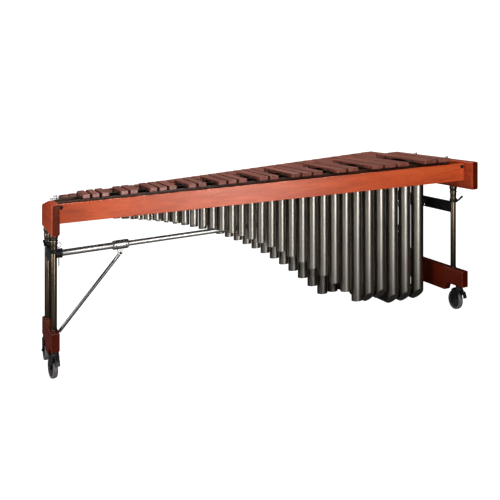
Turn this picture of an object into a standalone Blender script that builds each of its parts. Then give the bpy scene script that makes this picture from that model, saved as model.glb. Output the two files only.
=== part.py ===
"""A five-octave concert marimba: a tapered wooden frame with rosewood bars, tubular resonators and a wheeled stand.

Metres, +Z up. The origin is on the floor, at the middle of the instrument's outline seen from above.
+X runs along the keyboard towards the low notes, and +Y runs from the audience towards the player.
"""

import math

import bmesh
import bpy
from mathutils import Vector

# ---------------------------------------------------------------- driving dimensions
LENGTH = 2.60  # outer face to outer face of the end panels
PANEL_THICKNESS = 0.047
PANEL_TOP = 0.982
PANEL_PLAYER_TOP = 0.936  # the panels slope down to this on the player's side
PANEL_BOTTOM = 0.806
PANEL_LEFT_Y = (-0.2535, 0.1615)
PANEL_RIGHT_Y = (-0.605, 0.605)
PANEL_SLOPE_START = 0.45  # share of the panel's depth where the slope begins

RAIL_THICKNESS = 0.022
AUDIENCE_RAIL_Z = (0.8588, 0.9694)
PLAYER_RAIL_BOTTOM = 0.850

NATURALS = 36
ACCIDENTAL_STEPS = 34  # places along the accidental row, of which ten stay empty
EMPTY_STEPS = (2, 6)  # in each group of seven steps: between E and F, and between B and C
FIRST_STEP_X = 1.141  # the lowest accidental
STEADY_PITCH = 0.048
EXTRA_PITCH = 0.715  # the low bars are wider: this much more length, fading out up the keyboard
PITCH_FADE = 13.88
BAR_THICKNESS = 0.022
ARCH_DEPTH = 0.008
NATURAL_TOP = 0.972
ACCIDENTAL_TOP = 1.006
NATURAL_SPACING = 0.008
ACCIDENTAL_SPACING = 0.013
NODE_SHARE = 0.224  # a bar hangs by its nodes, this share of its length from each end
CORD_RADIUS = 0.002
BAR_GROUP_GAP = 0.0004

BAR_RAIL_WIDTH = 0.018
BAR_RAIL_HEIGHT = 0.045
BAR_CLEARANCE = 0.008  # from a bar rail up to the bars that hang over it

TUBE_TOP_ACCIDENTAL = 0.950
TUBE_TOP_NATURAL = 0.928
TUBE_RADIUS_SHARE = 0.42
TUBE_WALL = 0.002
PLATE_THICKNESS = 0.003
TUBE_SHORTEST = 0.035  # the part of a tube's length that doesn't change with its note
TUBE_MIDDLE = 0.237  # the rest of it, eighteen steps up, growing by a fixed ratio with each step down
TUBE_GROWTH = 0.0955
NATURAL_TUBE_SHARE = 1.08
LONGEST_TUBE = 0.875
FOLDED_FEET = (0.026, 0.024, 0.024, 0.072, 0.066)  # heights of the feet of the folded tubes, from the lowest note up
FOLD_REACH = 0.205
FOLD_RISE = 0.42

POST_RADIUS = 0.0175
POST_BORE = 0.0152
INNER_POST_RADIUS = 0.0145
INNER_POST_BOTTOM = 0.45
POST_TOP = 0.7635
SLEEVE_BOTTOM = 0.700
POST_SLEEVE_RADIUS = 0.0205
CLAMP_RING_RADIUS = 0.0230
CLAMP_RING_HEIGHT = 0.024
FLANGE_RADIUS = 0.0245
FLANGE_HEIGHT = 0.042
POSTS = {
    "left_audience": (-1, -0.1765),
    "left_player": (-1, 0.0765),
    "right_audience": (1, -0.3767),
    "right_player": (1, 0.3767),
}
POST_X = LENGTH / 2 - PANEL_THICKNESS / 2

BEAM_TOP = 0.267
BEAM_END_BOTTOM = 0.161
BEAM_BOTTOM = 0.109
BEAM_LEFT = (-0.2455, 0.1455, 0.115)  # audience end, player end, length of each raised end
BEAM_RIGHT = (-0.503, 0.503, 0.170)

CROSS_BAR_Z = (0.632, 0.700)
CROSS_BAR_THICKNESS = 0.025

STRETCHER_Y = -0.05
STRETCHER_Z = 0.669
STRETCHER_RADIUS = 0.0187
STRETCHER_INNER_RADIUS = 0.0158
STRETCHER_WALL = 0.0025
SLEEVE_LENGTH = 0.094
LEFT_SLEEVE_X = -0.870
RIGHT_SLEEVE_X = 1.000  # nearer its end than the left one, so the brace stays clear of the folded resonators
SLEEVE_RADIUS = 0.0275
PIVOT_DROP = 0.050
BRACE_RADIUS = 0.0085
BRACE_FOOT_Z = 0.205
EAR_GAP = 0.0062

CASTERS = {
    "left_audience": (-1, -0.215, 98),
    "left_player": (-1, 0.113, 90),
    "right_audience": (1, -0.440, 90),
    "right_player": (1, 0.440, 78),
}
WHEEL_RADIUS = 0.0625
WHEEL_WIDTH = 0.028
WHEEL_BORE = 0.0046
WHEEL_FACETS = 24
AXLE_RADIUS = 0.004
CASTER_TRAIL = 0.038
CASTER_TOP = BEAM_END_BOTTOM - 0.0003

GAP = 0.0003
INNER_X = LENGTH / 2 - PANEL_THICKNESS

WOOD_RED = (0.42, 0.115, 0.04)
WOOD_DARK = (0.16, 0.03, 0.014)
ROSEWOOD = (0.20, 0.085, 0.065)
BRONZE = (0.20, 0.19, 0.175)
STEEL = (0.55, 0.54, 0.52)
BLACK = (0.02, 0.02, 0.022)
RUBBER = (0.13, 0.12, 0.125)
PALE_WOOD = (0.33, 0.17, 0.08)


# ---------------------------------------------------------------- layout along and across the keyboard
def step_x(step):
    """Where a step of the accidental row lies along X; whole steps are accidentals, half steps are naturals."""
    return FIRST_STEP_X - STEADY_PITCH * step - EXTRA_PITCH * (1 - math.exp(-step / PITCH_FADE))


def pitch_at(step):
    """The distance from one step to the next."""
    return STEADY_PITCH + EXTRA_PITCH / PITCH_FADE * math.exp(-step / PITCH_FADE)


def across(at_left, at_right):
    """A straight line across the frame, as a function of X, from its Y at the left and right panels."""
    return lambda x: at_left + (at_right - at_left) * (x + INNER_X) / (2 * INNER_X)


AUDIENCE_FACE = across(-0.1686, -0.5203)
ACCIDENTAL_NEAR = across(-0.145, -0.490)
ACCIDENTAL_FAR = across(0.033, 0.155)
NATURAL_NEAR = across(0.020, 0.035)
NATURAL_FAR = across(0.185, 0.610)


def between(near, far, share):
    """The line that lies a share of the way from one line to another."""
    return lambda x: near(x) + (far(x) - near(x)) * share


# ---------------------------------------------------------------- meshes
def clear_scene():
    for item in list(bpy.data.objects):
        bpy.data.objects.remove(item, do_unlink=True)


def material(name, colour, roughness, metallic=0.0):
    """A Principled material for one object."""
    made = bpy.data.materials.new(name)
    made.use_nodes = True
    shader = made.node_tree.nodes["Principled BSDF"]
    shader.inputs["Base Color"].default_value = (*colour, 1.0)
    shader.inputs["Roughness"].default_value = roughness
    shader.inputs["Metallic"].default_value = metallic
    return made


def prism(outline, axis, low, high):
    """A closed shell: an outline of (u, v) points pushed along an axis; u and v are the other two axes in order."""
    others = [i for i in range(3) if i != axis]
    verts = []
    for level in (low, high):
        for point in outline:
            place = [0.0, 0.0, 0.0]
            place[axis] = level
            place[others[0]], place[others[1]] = point
            verts.append(tuple(place))
    count = len(outline)
    faces = [list(range(count)), list(range(count, 2 * count))]
    for i in range(count):
        j = (i + 1) % count
        faces.append([i, j, count + j, count + i])
    return verts, faces


def block(low, high):
    """A box between two corners."""
    outline = [(low[1], low[2]), (high[1], low[2]), (high[1], high[2]), (low[1], high[2])]
    return prism(outline, 0, low[0], high[0])


def turned(profile, sides, centre=(0, 0, 0), axis=2, turn=0.5):
    """A ring turned from a closed (radius, height) profile that stays off its axis."""
    verts = []
    for i in range(sides):
        angle = 2 * math.pi * (i + turn) / sides
        for radius, height in profile:
            flat = [radius * math.cos(angle), radius * math.sin(angle)]
            flat.insert(axis, height)
            verts.append(tuple(flat[k] + centre[k] for k in range(3)))
    count = len(profile)
    faces = []
    for i in range(sides):
        j = (i + 1) % sides
        for k in range(count):
            n = (k + 1) % count
            faces.append([i * count + k, i * count + n, j * count + n, j * count + k])
    return verts, faces


def rod(start, end, radius, sides=12, radius_end=None, turn=0.5):
    """A round bar between two points."""
    start, end = Vector(start), Vector(end)
    radius_end = radius if radius_end is None else radius_end
    along = (end - start).normalized()
    side = along.orthogonal().normalized()
    if abs(along.z) > 0.99:
        side = Vector((1, 0, 0))
    up = along.cross(side)
    verts = []
    for centre, size in ((start, radius), (end, radius_end)):
        for i in range(sides):
            angle = 2 * math.pi * (i + turn) / sides
            verts.append(tuple(centre + size * (math.cos(angle) * side + math.sin(angle) * up)))
    faces = [list(range(sides)), list(range(sides, 2 * sides))]
    for i in range(sides):
        j = (i + 1) % sides
        faces.append([i, j, sides + j, sides + i])
    return verts, faces


def stacked_rings(rings):
    """A closed shell through rings of the same number of points."""
    count = len(rings[0])
    verts = [point for ring in rings for point in ring]
    last = (len(rings) - 1) * count
    faces = [list(range(count)), list(range(last, last + count))]
    for level in range(len(rings) - 1):
        base = level * count
        for i in range(count):
            j = (i + 1) % count
            faces.append([base + i, base + j, base + count + j, base + count + i])
    return verts, faces


def mesh_from(shells, name):
    """One mesh holding several closed shells, with every face pointing out."""
    built = bmesh.new()
    for verts, faces in shells:
        points = [built.verts.new(v) for v in verts]
        for face in faces:
            built.faces.new([points[i] for i in face])
    bmesh.ops.recalc_face_normals(built, faces=built.faces)
    mesh = bpy.data.meshes.new(name)
    built.to_mesh(mesh)
    built.free()
    return mesh


def place(mesh, name, look, location=(0, 0, 0), parent=None):
    """Puts a mesh in the scene as a named object."""
    made = bpy.data.objects.new(name, mesh)
    bpy.context.collection.objects.link(made)
    made.location = location
    if parent is not None:
        made.parent = parent
    colour, roughness, metallic = look
    made.data.materials.append(material(name, colour, roughness, metallic))
    return made


def applied(item):
    """Replaces an object's mesh with the one its modifiers give."""
    graph = bpy.context.evaluated_depsgraph_get()
    mesh = bpy.data.meshes.new_from_object(item.evaluated_get(graph))
    item.modifiers.clear()
    item.data = mesh


def solid(name, shells, look, joined=(), cut=(), location=(0, 0, 0), parent=None, bevel=0.0, segments=2):
    """A named body from shells, with groups of shells joined to it and others cut from it."""
    item = place(mesh_from(shells, name), name, look)
    operands = [("UNION", group) for group in joined] + [("DIFFERENCE", group) for group in cut]
    for step, (operation, group) in enumerate(operands):
        tool = bpy.data.objects.new(f"{name}_tool", mesh_from(group, f"{name}_tool"))
        bpy.context.collection.objects.link(tool)
        boolean = item.modifiers.new(f"step_{step}", "BOOLEAN")
        boolean.operation = operation
        boolean.object = tool
        applied(item)
        bpy.data.objects.remove(tool, do_unlink=True)
    if bevel:
        edge = item.modifiers.new("edges", "BEVEL")
        edge.width = bevel
        edge.segments = segments
        edge.limit_method = "ANGLE"
        edge.angle_limit = math.radians(40)
        applied(item)
    item.data.shade_smooth()
    item.data.set_sharp_from_angle(angle=math.radians(35))
    item.location = location
    if parent is not None:
        item.parent = parent
    return item


def empty(name, location, parent=None, turn=0.0):
    """A pivot that moving pieces are parented to."""
    made = bpy.data.objects.new(name, None)
    bpy.context.collection.objects.link(made)
    made.location = location
    made.rotation_euler = (0, 0, math.radians(turn))
    if parent is not None:
        made.parent = parent
    return made


SATIN_WOOD = (WOOD_RED, 0.38, 0.0)
DARK_WOOD = (WOOD_DARK, 0.35, 0.0)
INNER_WOOD = (PALE_WOOD, 0.55, 0.0)
BAR_WOOD = (ROSEWOOD, 0.45, 0.0)
TUBE_METAL = (BRONZE, 0.38, 0.9)
BRIGHT_METAL = (STEEL, 0.28, 1.0)
BLACK_METAL = (BLACK, 0.45, 0.3)
WHEEL_RUBBER = (RUBBER, 0.75, 0.0)


# ---------------------------------------------------------------- upper frame
def end_panels(upper):
    """Two thick planks on edge, lower on the player's side where the naturals lie."""
    for side, (near, far) in (("left", PANEL_LEFT_Y), ("right", PANEL_RIGHT_Y)):
        slope = near + (far - near) * (PANEL_SLOPE_START if side == "left" else 0.70)
        outline = [(near, PANEL_BOTTOM), (near, PANEL_TOP), (slope, PANEL_TOP)]
        outline += [(far, PANEL_PLAYER_TOP), (far, PANEL_BOTTOM)]
        low = -LENGTH / 2 if side == "left" else INNER_X
        shells = [prism(outline, 0, low, low + PANEL_THICKNESS)]
        solid(f"end_panel_{side}", shells, DARK_WOOD, parent=upper, bevel=0.010, segments=3)


def plank(name, face, inward, levels, width, look, parent, bevel=0.0):
    """A rail between the end panels whose outer face follows a line across the frame."""
    left, right = -INNER_X + GAP, INNER_X - GAP
    shell_points = []
    for z in levels:
        ring = [(left, face(left), z), (right, face(right), z)]
        ring += [(right, face(right) + inward * width, z), (left, face(left) + inward * width, z)]
        shell_points.append(ring)
    solid(name, [stacked_rings(shell_points)], look, parent=parent, bevel=bevel)


def audience_rail(upper):
    plank("audience_rail", AUDIENCE_FACE, 1, AUDIENCE_RAIL_Z, RAIL_THICKNESS, SATIN_WOOD, upper, bevel=0.002)


def bar_rails(upper):
    """Four rails under the nodes of the two rows of bars; the deep one on the player's side closes the frame."""
    rows = {
        "accidental": (ACCIDENTAL_NEAR, ACCIDENTAL_FAR, ACCIDENTAL_TOP),
        "natural": (NATURAL_NEAR, NATURAL_FAR, NATURAL_TOP),
    }
    for row, (near, far, top) in rows.items():
        high = top - BAR_THICKNESS - BAR_CLEARANCE
        for place_name, share in (("audience", NODE_SHARE), ("player", 1 - NODE_SHARE)):
            middle = between(near, far, share)
            face = lambda x, line=middle: line(x) - BAR_RAIL_WIDTH / 2
            if (row, place_name) == ("natural", "player"):
                levels, look = (PLAYER_RAIL_BOTTOM, high), SATIN_WOOD
            else:
                levels, look = (high - BAR_RAIL_HEIGHT, high), INNER_WOOD
            plank(f"bar_rail_{row}_{place_name}", face, 1, levels, BAR_RAIL_WIDTH, look, upper)


def bar_shell(x, width, near, far, top):
    """One bar with its tuned arch underneath."""
    low = top - BAR_THICKNESS
    length = far - near
    arch = (0.30, 0.50, 0.70)
    outline = [(near, top), (near, low), (near + arch[0] * length, low)]
    outline += [(near + arch[1] * length, low + ARCH_DEPTH), (near + arch[2] * length, low), (far, low), (far, top)]
    return prism(outline, 0, x - width / 2, x + width / 2)


def row_steps(row):
    """The steps of the bars in one row, from the lowest note up."""
    if row == "natural":
        return [i - 0.5 for i in range(NATURALS)]
    return [n for n in range(ACCIDENTAL_STEPS) if n % 7 not in EMPTY_STEPS]


def bars(upper):
    """Each row of bars as three groups, strung on two cords through the bars' nodes."""
    rows = {
        "natural": (NATURAL_NEAR, NATURAL_FAR, NATURAL_TOP, NATURAL_SPACING),
        "accidental": (ACCIDENTAL_NEAR, ACCIDENTAL_FAR, ACCIDENTAL_TOP, ACCIDENTAL_SPACING),
    }
    for row, (near, far, top, spacing) in rows.items():
        steps = row_steps(row)
        third = len(steps) // 3
        groups = {"low": steps[:third], "middle": steps[third : 2 * third], "high": steps[2 * third :]}
        for group, members in groups.items():
            shells = []
            for step in members:
                x = step_x(step)
                shells.append(bar_shell(x, pitch_at(step) - spacing, near(x), far(x), top))
            right = step_x(members[0]) + pitch_at(members[0]) * 0.5 - BAR_GROUP_GAP
            left = step_x(members[-1]) - pitch_at(members[-1]) * 0.45
            cords = []
            for node in (NODE_SHARE, 1 - NODE_SHARE):
                line = between(near, far, node)
                z = top - BAR_THICKNESS * 0.5
                cords.append(rod((left, line(left), z), (right, line(right), z), CORD_RADIUS, sides=4))
            solid(f"{row}_bars_{group}", shells, BAR_WOOD, joined=[cords], parent=upper)


# ---------------------------------------------------------------- resonators
def tube_length(step, share):
    """How far a resonator hangs: longer for each lower note, up to the longest that clears the floor."""
    return min(share * (TUBE_SHORTEST + TUBE_MIDDLE * math.exp(TUBE_GROWTH * (18 - step))), LONGEST_TUBE)


def slanted_ring(x, y, radius, sides, bottom, slant):
    """A ring of points whose height rises by slant for each metre towards -Y from the ring's far side."""
    ring = []
    for i in range(sides):
        angle = 2 * math.pi * (i + 0.5) / sides
        dy = radius * math.sin(angle)
        height = bottom + (radius - dy * math.copysign(1, slant)) * abs(slant)
        ring.append((x + radius * math.cos(angle), y + dy, height))
    return ring


def upright_tube(x, y, radius, sides, bottom, top, slant=0.0):
    """A plain upright cylinder, its foot level or cut at a slant."""
    foot = slanted_ring(x, y, radius, sides, bottom, slant)
    head = [(px, py, top) for px, py, _ in foot]
    return stacked_rings([foot, head])


def level_leg(x, y_near, y_far, radius, sides, bottom):
    """The level part of a folded resonator, its two ends cut at 45 degrees."""
    inset = 0.004
    rings = []
    for end, sign in ((y_near, -1), (y_far, 1)):
        ring = []
        for i in range(sides):
            angle = 2 * math.pi * (i + 0.5) / sides
            dz = radius * math.sin(angle)
            ring.append((x + (radius - 0.0007) * math.cos(angle), end + sign * (dz - inset), bottom + radius + dz))
        rings.append(ring)
    return stacked_rings(rings)


def resonator_bank(name, steps, line, top, share, folded, upper):
    """Resonator tubes hanging from one plate, open at the top and stopped at the foot; some may be folded."""
    tubes, legs, returns, bores = [], [], [], []
    for step in steps:
        x = step_x(step)
        y = line(x)
        radius = pitch_at(step) * TUBE_RADIUS_SHARE
        bottom = top - tube_length(step, share)
        bore_end = bottom + 0.004
        if folded and step < len(FOLDED_FEET):
            bottom = FOLDED_FEET[step]
            tubes.append(upright_tube(x, y, radius, 12, bottom, top - 0.001, slant=1.0))
            legs.append(level_leg(x, y, y + FOLD_REACH, radius, 12, bottom))
            rise = bottom + FOLD_RISE
            returns.append(upright_tube(x, y + FOLD_REACH, radius, 12, bottom, rise, slant=-1.0))
            bore_end = bottom + 2.0 * radius + 0.004
            bores.append(upright_tube(x, y + FOLD_REACH, radius - TUBE_WALL, 8, bore_end, rise + 0.01))
        else:
            tubes.append(upright_tube(x, y, radius, 12, bottom, top - 0.001))
        bores.append(upright_tube(x, y, radius - TUBE_WALL, 8, bore_end, top + 0.01))
    high = step_x(steps[0]) + pitch_at(steps[0]) * 0.5 - 0.001
    low = step_x(steps[-1]) - pitch_at(steps[-1]) * 0.5 + 0.001
    edge_high = pitch_at(steps[0]) * TUBE_RADIUS_SHARE + 0.006
    edge_low = pitch_at(steps[-1]) * TUBE_RADIUS_SHARE + 0.006
    plate = []
    for z in (top - PLATE_THICKNESS, top):
        plate.append(
            [
                (low, line(low) - edge_low, z),
                (high, line(high) - edge_high, z),
                (high, line(high) + edge_high, z),
                (low, line(low) + edge_low, z),
            ]
        )
    joined = [tubes]
    if legs:
        joined += [legs, returns]
    solid(name, [stacked_rings(plate)], TUBE_METAL, joined=joined, cut=[bores], parent=upper)


def resonators(upper):
    accidental_middle = between(ACCIDENTAL_NEAR, ACCIDENTAL_FAR, 0.5)
    natural_middle = between(NATURAL_NEAR, NATURAL_FAR, 0.5)
    accidental = list(range(ACCIDENTAL_STEPS))
    natural = row_steps("natural")
    banks = [
        ("resonators_accidental_low", accidental[:14], accidental_middle, TUBE_TOP_ACCIDENTAL, 1.0, True),
        ("resonators_accidental_high", accidental[14:], accidental_middle, TUBE_TOP_ACCIDENTAL, 1.0, False),
        ("resonators_natural_low", natural[:15], natural_middle, TUBE_TOP_NATURAL, NATURAL_TUBE_SHARE, False),
        ("resonators_natural_high", natural[15:], natural_middle, TUBE_TOP_NATURAL, NATURAL_TUBE_SHARE, False),
    ]
    for name, steps, line, top, share, folded in banks:
        resonator_bank(name, steps, line, top, share, folded, upper)


# ---------------------------------------------------------------- stand
def posts(upper):
    """Four telescoping posts: a fixed outer tube with a clamped sleeve, and an inner post under the end panel."""
    for name, (side, y) in POSTS.items():
        x = side * POST_X
        flange = [rod((x, y, PANEL_BOTTOM - FLANGE_HEIGHT), (x, y, PANEL_BOTTOM - GAP), FLANGE_RADIUS, 16)]
        shaft = [rod((x, y, INNER_POST_BOTTOM), (x, y, PANEL_BOTTOM - 0.01), INNER_POST_RADIUS, 16)]
        solid(f"inner_post_{name}", shaft, BRIGHT_METAL, joined=[flange], parent=upper)
        low, neck, ring_top = BEAM_TOP + GAP, SLEEVE_BOTTOM, SLEEVE_BOTTOM + CLAMP_RING_HEIGHT
        profile = [(POST_BORE, low), (POST_RADIUS, low), (POST_RADIUS, neck), (CLAMP_RING_RADIUS, neck)]
        profile += [(CLAMP_RING_RADIUS, ring_top), (POST_SLEEVE_RADIUS, ring_top)]
        profile += [(POST_SLEEVE_RADIUS, POST_TOP), (POST_BORE, POST_TOP)]
        boss_z = SLEEVE_BOTTOM + CLAMP_RING_HEIGHT / 2
        boss = block((x - 0.008, y - 0.036, boss_z - 0.011), (x + 0.008, y - 0.0178, boss_z + 0.011))
        solid(f"outer_post_{name}", [turned(profile, 16, (x, y, 0))], TUBE_METAL, joined=[[boss]])
        lever = [rod((0, 0, 0), (side * 0.012, 0, 0), 0.006, 8)]
        grip = [rod((side * 0.008, -0.001, -0.001), (side * 0.022, -0.030, 0.030), 0.0045, 8, 0.0065)]
        spot = (x + side * (0.008 + GAP), y - 0.0275, boss_z)
        solid(f"clamp_lever_{name}", lever, BLACK_METAL, joined=[grip], location=spot)


def beams():
    """The wooden feet that carry the posts, deeper between the casters."""
    for side, sign, (near, far, end) in (("left", -1, BEAM_LEFT), ("right", 1, BEAM_RIGHT)):
        outline = [(near, BEAM_END_BOTTOM), (near, BEAM_TOP), (far, BEAM_TOP), (far, BEAM_END_BOTTOM)]
        outline += [(far - end, BEAM_END_BOTTOM), (far - end - 0.022, BEAM_BOTTOM)]
        outline += [(near + end + 0.022, BEAM_BOTTOM), (near + end, BEAM_END_BOTTOM)]
        low = sign * POST_X - PANEL_THICKNESS / 2
        shells = [prism(outline, 0, low, low + PANEL_THICKNESS)]
        solid(f"foot_beam_{side}", shells, DARK_WOOD, bevel=0.006, segments=2)


def cross_bars():
    """Flat bars between each pair of posts, which the stretcher is pinned to."""
    for side, sign in (("left", -1), ("right", 1)):
        ends = [y for name, (s, y) in POSTS.items() if s == sign]
        x = sign * POST_X
        low = (x - CROSS_BAR_THICKNESS / 2, min(ends) + POST_RADIUS + GAP, CROSS_BAR_Z[0])
        high = (x + CROSS_BAR_THICKNESS / 2, max(ends) - POST_RADIUS - GAP, CROSS_BAR_Z[1])
        solid(f"cross_bar_{side}", [block(low, high)], BLACK_METAL, bevel=0.002, segments=1)


def along_x(radius_out, radius_in, low, high, sides=16, y=STRETCHER_Y, z=STRETCHER_Z):
    """A tube along X."""
    profile = [(radius_in, low), (radius_out, low), (radius_out, high), (radius_in, high)]
    return turned(profile, sides, (0, y, z), axis=0)


def stretcher():
    """The long telescoping tube between the two ends of the stand, its brackets, sleeves, braces and pins."""
    bar_face = POST_X - CROSS_BAR_THICKNESS / 2
    tube_end = bar_face - 0.012
    pin_x = bar_face - 0.034
    pin_hole = lambda sign: [rod((sign * pin_x, STRETCHER_Y, 0.60), (sign * pin_x, STRETCHER_Y, 0.74), 0.0035, 8)]
    outer_end = LEFT_SLEEVE_X + SLEEVE_LENGTH / 2 - 0.003
    outer = along_x(STRETCHER_RADIUS, STRETCHER_INNER_RADIUS + GAP * 2, -tube_end, outer_end)
    solid("stretcher_outer_tube", [outer], BRIGHT_METAL, cut=[pin_hole(-1)])
    inner_wall = STRETCHER_INNER_RADIUS - STRETCHER_WALL
    inner_end = LEFT_SLEEVE_X - SLEEVE_LENGTH / 2 + 0.01
    inner = along_x(STRETCHER_INNER_RADIUS, inner_wall, inner_end, tube_end)
    solid("stretcher_inner_tube", [inner], BRIGHT_METAL, cut=[pin_hole(1)])
    for side, sign, bore in (("left", -1, STRETCHER_RADIUS), ("right", 1, STRETCHER_INNER_RADIUS)):
        span = sorted((sign * (bar_face - GAP), sign * (bar_face - 0.058)))
        socket = along_x(bore + 0.007, bore + GAP, span[0], span[1])
        face = sign * (bar_face - GAP)
        plate = block(
            (min(face, face - sign * 0.006), STRETCHER_Y - 0.036, STRETCHER_Z - 0.034),
            (max(face, face - sign * 0.006), STRETCHER_Y + 0.036, STRETCHER_Z + 0.030),
        )
        name = f"stretcher_bracket_{side}"
        solid(name, [plate], BLACK_METAL, joined=[[socket]], cut=[pin_hole(sign)])
        shaft = rod((0, 0, -0.034), (0, 0, 0.036), 0.003, 8)
        ring_centre = (0, 0, 0.047)
        section = [(0.0105, -0.0014), (0.0134, -0.0014), (0.0134, 0.0014), (0.0105, 0.0014)]
        ring = turned(section, 14, ring_centre, axis=1)
        spot = (sign * pin_x, STRETCHER_Y, STRETCHER_Z)
        solid(f"lock_pin_{side}", [shaft], BRIGHT_METAL, joined=[[ring]], location=spot)
    brace_end("left", -1, LEFT_SLEEVE_X, STRETCHER_RADIUS)
    brace_end("right", 1, RIGHT_SLEEVE_X, STRETCHER_INNER_RADIUS)


def brace_end(side, sign, middle, bore):
    """A sleeve on the stretcher with two ears below it, and the brace that is pinned between them."""
    half = SLEEVE_LENGTH / 2
    sleeve = along_x(SLEEVE_RADIUS, bore + GAP, middle - half, middle + half)
    pivot = Vector((middle, STRETCHER_Y, STRETCHER_Z - PIVOT_DROP))
    ears = []
    for ear_side in (-1, 1):
        near = STRETCHER_Y + ear_side * EAR_GAP
        far = STRETCHER_Y + ear_side * (EAR_GAP + 0.004)
        outline = [(middle - 0.016, pivot.z - 0.006), (middle - 0.008, pivot.z - 0.014), (middle + 0.008, pivot.z - 0.014)]
        outline += [(middle + 0.016, pivot.z - 0.006), (middle + 0.02, STRETCHER_Z - 0.022)]
        outline += [(middle - 0.02, STRETCHER_Z - 0.022)]
        ears.append(prism(outline, 1, min(near, far), max(near, far)))
    pin = rod((pivot.x, STRETCHER_Y - 0.013, pivot.z), (pivot.x, STRETCHER_Y + 0.013, pivot.z), 0.0045, 8)
    solid(f"brace_sleeve_{side}", [sleeve], BRIGHT_METAL, joined=[ears, [pin]])
    foot = Vector((sign * (INNER_X - 0.016), STRETCHER_Y, BRACE_FOOT_Z))
    along = (foot - pivot).normalized()
    square = Vector((along.z, 0, -along.x))
    flat = []
    for distance, half in ((-0.010, 0.009), (0.045, 0.010), (0.060, 0.006)):
        centre = pivot + along * distance
        flat.append((centre, half))
    outline = [(c + square * h) for c, h in flat] + [(c - square * h) for c, h in reversed(flat)]
    head = prism([(p.x, p.z) for p in outline], 1, STRETCHER_Y - 0.0055, STRETCHER_Y + 0.0055)
    bar = rod(pivot + along * 0.050, foot, BRACE_RADIUS, 12)
    foot_pad = block(
        (min(sign * INNER_X, sign * (INNER_X - 0.022)) + GAP, STRETCHER_Y - 0.014, BRACE_FOOT_Z - 0.028),
        (max(sign * INNER_X, sign * (INNER_X - 0.022)) - GAP, STRETCHER_Y + 0.014, BRACE_FOOT_Z + 0.022),
    )
    hole = [rod((pivot.x, STRETCHER_Y - 0.02, pivot.z), (pivot.x, STRETCHER_Y + 0.02, pivot.z), 0.0049, 8)]
    solid(f"brace_{side}", [bar], BRIGHT_METAL, joined=[[head], [foot_pad]], cut=[hole])


# ---------------------------------------------------------------- casters
def wheel_shell():
    """A wheel turned about its own X axis: a wide rubber tread on a recessed disc and a hub."""
    facet = math.cos(math.pi / WHEEL_FACETS)
    tread = WHEEL_RADIUS / facet
    half = WHEEL_WIDTH / 2
    profile = [(WHEEL_BORE, half), (0.016, half - 0.004), (0.045, half - 0.004)]
    profile += [(0.050, half), (tread, half - 0.004)]
    mirrored = [(radius, -height) for radius, height in reversed(profile)]
    return turned(profile + mirrored, WHEEL_FACETS, axis=0, turn=0.5)


def casters():
    """Four braked swivel casters. Each turns about its stem, and its wheel and pedal turn about X in its frame."""
    for name, (side, y, heading) in CASTERS.items():
        swivel = empty(f"swivel_{name}", (side * POST_X, y, 0), turn=heading - 90)
        axle_z = WHEEL_RADIUS
        housing = rod((0, 0, 0.134), (0, 0, CASTER_TOP), 0.0225, 16)
        back = CASTER_TRAIL + 0.017
        crown = block((-0.0235, -0.024, 0.129), (0.0235, back + 0.002, 0.136))
        cheeks = []
        for cheek in (-1, 1):
            outline = [(-0.018, 0.1295), (back, 0.1295), (back, 0.110), (CASTER_TRAIL + 0.013, axle_z - 0.008)]
            outline += [(CASTER_TRAIL, axle_z - 0.014), (CASTER_TRAIL - 0.013, axle_z - 0.008), (-0.018, 0.112)]
            inner, outer = sorted((cheek * 0.0170, cheek * 0.0205))
            cheeks.append(prism(outline, 0, inner, outer))
        axle_hole = [rod((-0.03, CASTER_TRAIL, axle_z), (0.03, CASTER_TRAIL, axle_z), AXLE_RADIUS + GAP, 12)]
        lug = block((-0.010, -0.034, 0.119), (0.010, -0.017, 0.1345))
        solid(
            f"caster_fork_{name}",
            [crown],
            BLACK_METAL,
            joined=[[housing], cheeks, [lug]],
            cut=[axle_hole],
            parent=swivel,
        )
        spot = (0, CASTER_TRAIL, axle_z)
        solid(f"caster_wheel_{name}", [wheel_shell()], WHEEL_RUBBER, location=spot, parent=swivel)
        head = 0.0205 + GAP
        axle = rod((-head - 0.003, 0, 0), (head + 0.003, 0, 0), AXLE_RADIUS, 12)
        caps = [rod((s * head, 0, 0), (s * (head + 0.0045), 0, 0), 0.0075, 12) for s in (-1, 1)]
        solid(f"caster_axle_{name}", [axle], BRIGHT_METAL, joined=[caps], location=spot, parent=swivel)
        outline = [(0.003, 0.003), (-0.006, 0.006), (-0.017, -0.006), (-0.026, -0.034), (-0.022, -0.036)]
        outline += [(-0.012, -0.010), (-0.003, -0.004)]
        pedal = prism([(p[0], p[1]) for p in outline], 0, -0.013, 0.013)
        pedal_spot = (0, -0.0378, 0.1265)
        solid(f"brake_pedal_{name}", [pedal], BLACK_METAL, location=pedal_spot, parent=swivel)


def main():
    clear_scene()
    upper = empty("upper_frame", (0, 0, 0))
    end_panels(upper)
    audience_rail(upper)
    bar_rails(upper)
    bars(upper)
    resonators(upper)
    posts(upper)
    beams()
    cross_bars()
    stretcher()
    casters()


main()
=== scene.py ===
"""Looks for the concert marimba: detailed pieces over the CAD model, their materials, and the studio."""

import math

import bmesh
import bpy
from mathutils import Matrix, Vector


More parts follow.
